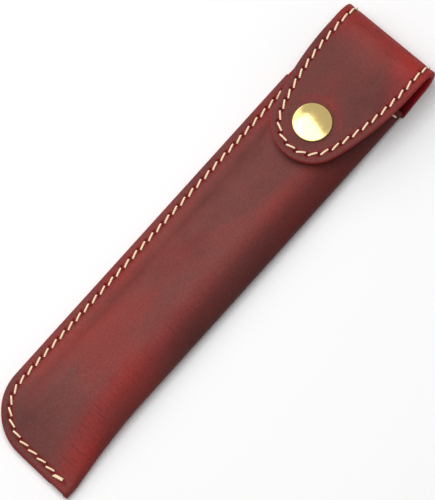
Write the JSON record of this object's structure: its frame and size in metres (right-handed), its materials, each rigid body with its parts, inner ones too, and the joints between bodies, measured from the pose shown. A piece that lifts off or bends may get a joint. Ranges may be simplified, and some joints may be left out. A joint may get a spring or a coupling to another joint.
{
  "type": "single pen sleeve",
  "caption": "Long flat leather pen sleeve, stitched down a side and round its foot, with a slanted mouth and a stitched flap that folds over and shuts with a brass snap.",
  "frame": {"origin": "middle of the footprint, on the table under the back", "axes": "+X from the sewn seam to the folded side, +Y from the foot to the bend of the flap, +Z out of the front"},
  "size_m": [0.038, 0.1769, 0.015],
  "materials": {
    "leather": "oiled, satin",
    "thread": "waxed",
    "brass": "polished"
  },
  "bodies": {
    "sleeve": {"sleeve_leather": "leather", "seam_thread": "thread", "mouth_thread": "thread", "neck_thread": "thread", "snap_stud": "brass", "stud_eyelet": "brass"},
    "fold_lower": {"fold_lower": "leather", "fold_lower_thread": "thread"},
    "fold_upper": {"fold_upper": "leather", "fold_upper_thread": "thread"},
    "flap": {"flap_leather": "leather", "flap_thread": "thread", "snap_cap": "brass", "snap_socket": "brass", "socket_spring": "brass"}
  },
  "joints": [
    {"name": "flap_bend_1", "type": "hinge", "parent": "sleeve", "child": "fold_lower", "pos_m": [-0.00065, 0.08441, 0.00144], "axis": [-1, 0, 0], "range_deg": [0, 60], "deforming": ["fold_lower", "fold_lower_thread"]},
    {"name": "flap_bend_2", "type": "hinge", "parent": "fold_lower", "child": "fold_upper", "pos_m": [-0.00065, 0.08745, 0.0067], "axis": [-1, 0, 0], "range_deg": [0, 60], "deforming": ["fold_upper", "fold_upper_thread"]},
    {"name": "flap_bend_3", "type": "hinge", "parent": "fold_upper", "child": "flap", "pos_m": [-0.00065, 0.08441, 0.01196], "axis": [-1, 0, 0], "range_deg": [0, 60]}
  ],
  "couplings": [
    {"joint": "flap_bend_2", "follows": "flap_bend_1", "ratio": 1},
    {"joint": "flap_bend_3", "follows": "flap_bend_1", "ratio": 1}
  ]
}
